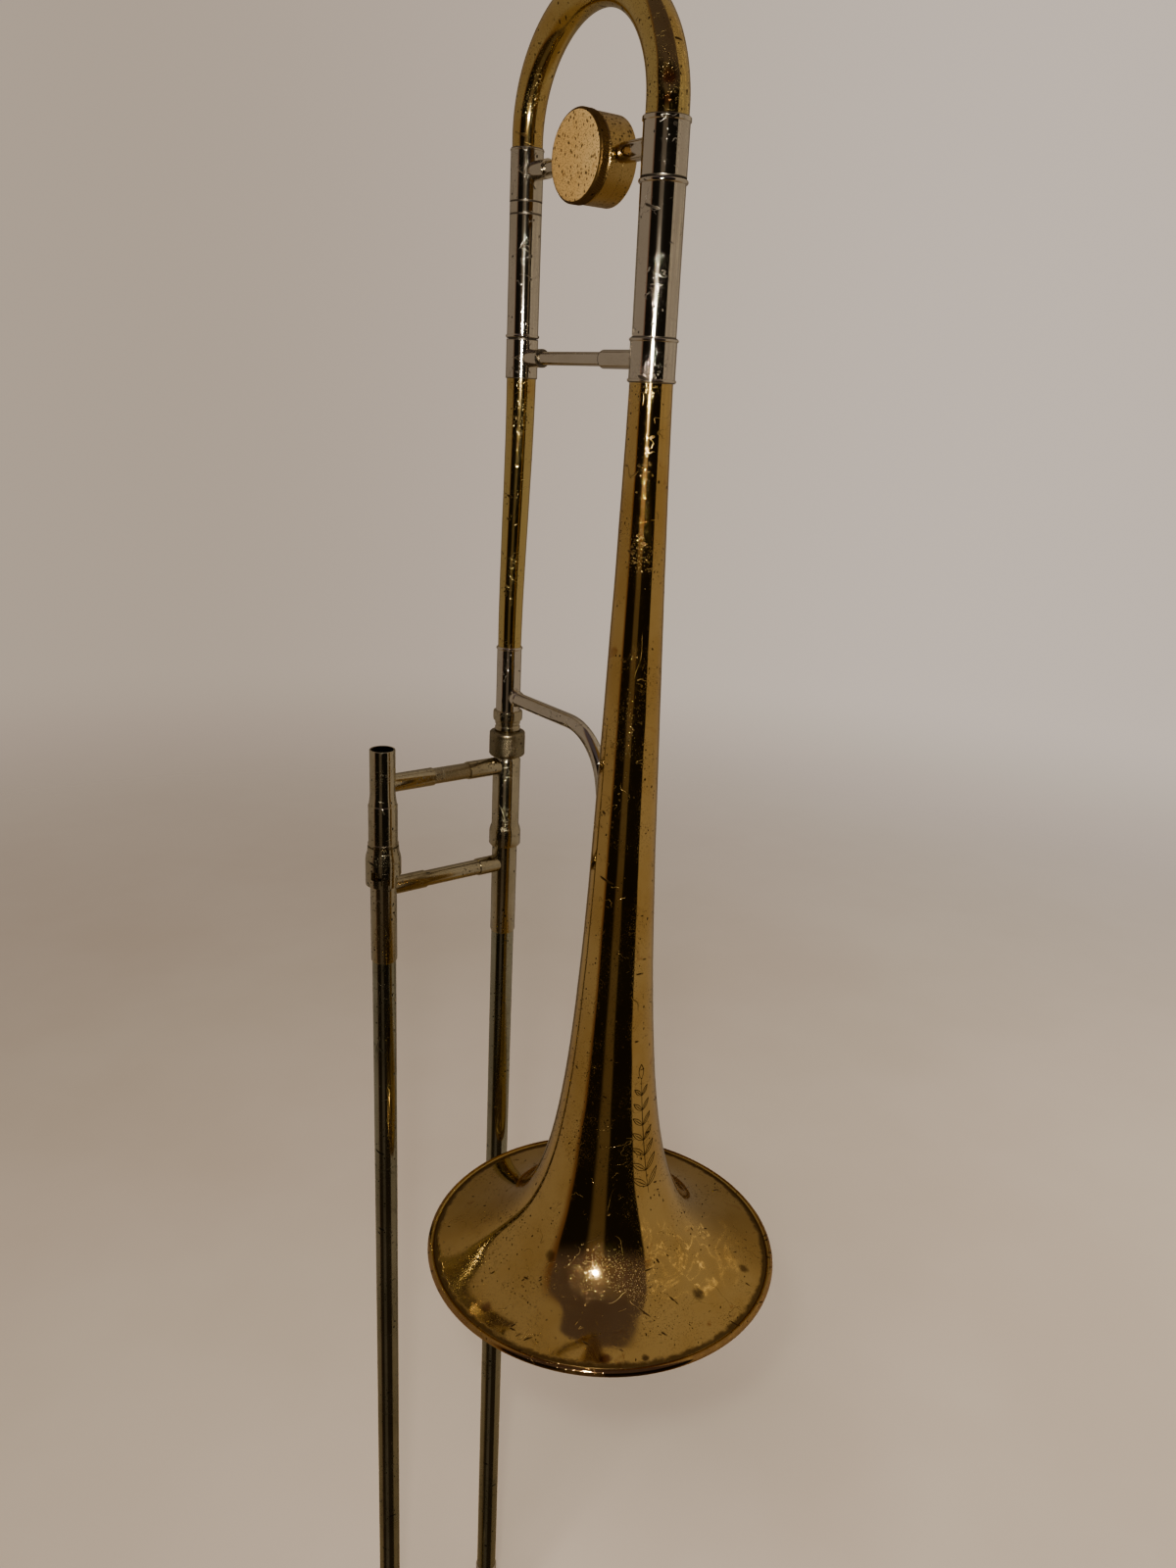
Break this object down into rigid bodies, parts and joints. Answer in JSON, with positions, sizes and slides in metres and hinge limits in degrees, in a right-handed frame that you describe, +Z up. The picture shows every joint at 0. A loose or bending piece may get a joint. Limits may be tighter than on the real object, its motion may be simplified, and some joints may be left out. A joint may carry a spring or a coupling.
{
  "type": "slide trombone",
  "caption": "Straight tenor slide trombone with a flared brass bell, counterweighted tuning slide, hand slide with lock ring, lock nut and water key.",
  "frame": {"origin": "tip of the rubber bumper at the foot of the hand slide, midway between its two tubes", "axes": "+Z up along the slide tubes, -Y from the hand slide towards the bell, -X towards the mouthpiece side"},
  "size_m": [0.2066, 0.232, 1.1489],
  "materials": {
    "lacquered_brass": "aged lacquer over polished brass, with dark specks and red tarnish",
    "worn_weight_brass": "satin, worn and speckled",
    "nickel_silver": "polished nickel silver, warm grey, scratched",
    "nickel_slide_tube": "dull nickel plate with dark patches",
    "chromed_inner_tube": "hard chrome, smooth",
    "steel": "plain steel",
    "rubber": "matt black",
    "cork": "natural cork"
  },
  "bodies": {
    "outer_slide": {"outer_tube_mouth_side": "nickel_slide_tube", "outer_tube_bell_side": "nickel_slide_tube", "outer_sleeve_mouth_side": "nickel_silver", "outer_sleeve_bell_side": "nickel_silver", "slide_lock_lug": "nickel_silver", "outer_brace_mouth_socket": "nickel_silver", "outer_brace_bell_socket": "nickel_silver", "outer_brace_rod": "nickel_silver", "slide_crook": "lacquered_brass", "crook_ferrule_mouth_side": "nickel_silver", "crook_ferrule_bell_side": "nickel_silver", "crook_guard": "nickel_silver", "rubber_bumper": "rubber", "water_key_nipple": "nickel_silver", "water_key_saddle": "nickel_silver", "water_key_pin": "steel", "water_key_spring": "steel"},
    "inner_slide": {"mouthpiece_receiver": "nickel_silver", "leadpipe": "lacquered_brass", "inner_tube_mouth_side": "chromed_inner_tube", "inner_tube_bell_side": "chromed_inner_tube", "cork_barrel_mouth_side": "nickel_silver", "cork_barrel_bell_side": "nickel_silver", "barrel_corks": "cork", "slide_tenon": "nickel_silver", "inner_brace_mouth_socket": "nickel_silver", "inner_brace_bell_socket": "nickel_silver", "inner_brace_rod": "nickel_silver"},
    "slide_lock": {"slide_lock_ring": "nickel_silver"},
    "water_key": {"water_key_lever": "nickel_silver", "water_key_cork": "cork"},
    "bell_lock_nut": {"lock_nut": "nickel_silver"},
    "bell_section": {"bell_flare": "lacquered_brass", "bell_tail": "lacquered_brass", "bell_rim_wire": "lacquered_brass", "bell_ferrule": "nickel_silver", "bell_tuning_receiver": "nickel_silver", "bell_brace_neck_socket": "nickel_silver", "bell_brace_bell_socket": "nickel_silver", "bell_brace_rod": "nickel_silver", "gooseneck": "lacquered_brass", "neck_receiver": "nickel_silver", "neck_lock_collar": "nickel_silver", "neck_upper_ferrule": "nickel_silver", "neck_tuning_leg": "nickel_silver", "curved_stay": "nickel_silver", "curved_stay_foot": "nickel_silver"},
    "tuning_slide": {"tuning_bow": "lacquered_brass", "bow_ferrule_small": "nickel_silver", "bow_ferrule_large": "nickel_silver", "tuning_outer_leg": "nickel_silver", "tuning_inner_leg": "nickel_silver", "tuning_brace_small_socket": "nickel_silver", "tuning_brace_large_socket": "nickel_silver", "tuning_brace_rod": "nickel_silver", "counterweight_front": "worn_weight_brass", "counterweight_rear": "worn_weight_brass", "counterweight_screw": "steel"},
    "weight_cap": {"counterweight_cap": "worn_weight_brass"}
  },
  "joints": [
    {"name": "hand_slide", "type": "slide", "parent": "outer_slide", "child": "inner_slide", "axis": [0, 0, 1], "range_m": [0, 0.575]},
    {"name": "bell_swivel", "type": "hinge", "parent": "inner_slide", "child": "bell_section", "pos_m": [0.0415, 0, 0.765], "axis": [0, 0, 1], "range_deg": [-25, 90]},
    {"name": "tuning_slide_pull", "type": "slide", "parent": "bell_section", "child": "tuning_slide", "axis": [0, 0, 1], "range_m": [0, 0.055]},
    {"name": "lock_nut_turn", "type": "hinge", "parent": "inner_slide", "child": "bell_lock_nut", "pos_m": [0.0415, 0, 0.759], "axis": [0, 0, 1], "continuous": true},
    {"name": "slide_lock_turn", "type": "hinge", "parent": "inner_slide", "child": "slide_lock", "pos_m": [-0.0415, 0, 0.696], "axis": [0, 0, 1], "range_deg": [0, 32]},
    {"name": "weight_cap_turn", "type": "hinge", "parent": "tuning_slide", "child": "weight_cap", "pos_m": [0.033, -0.0675, 1.0672], "axis": [1, 0, 0], "continuous": true},
    {"name": "water_key_press", "type": "hinge", "parent": "outer_slide", "child": "water_key", "pos_m": [0.0135, -0.012, 0.0277], "axis": [1, 0, 0], "range_deg": [-8, 0], "stiffness_Nm_per_rad": 0.35, "springref_deg": 14.32}
  ]
}
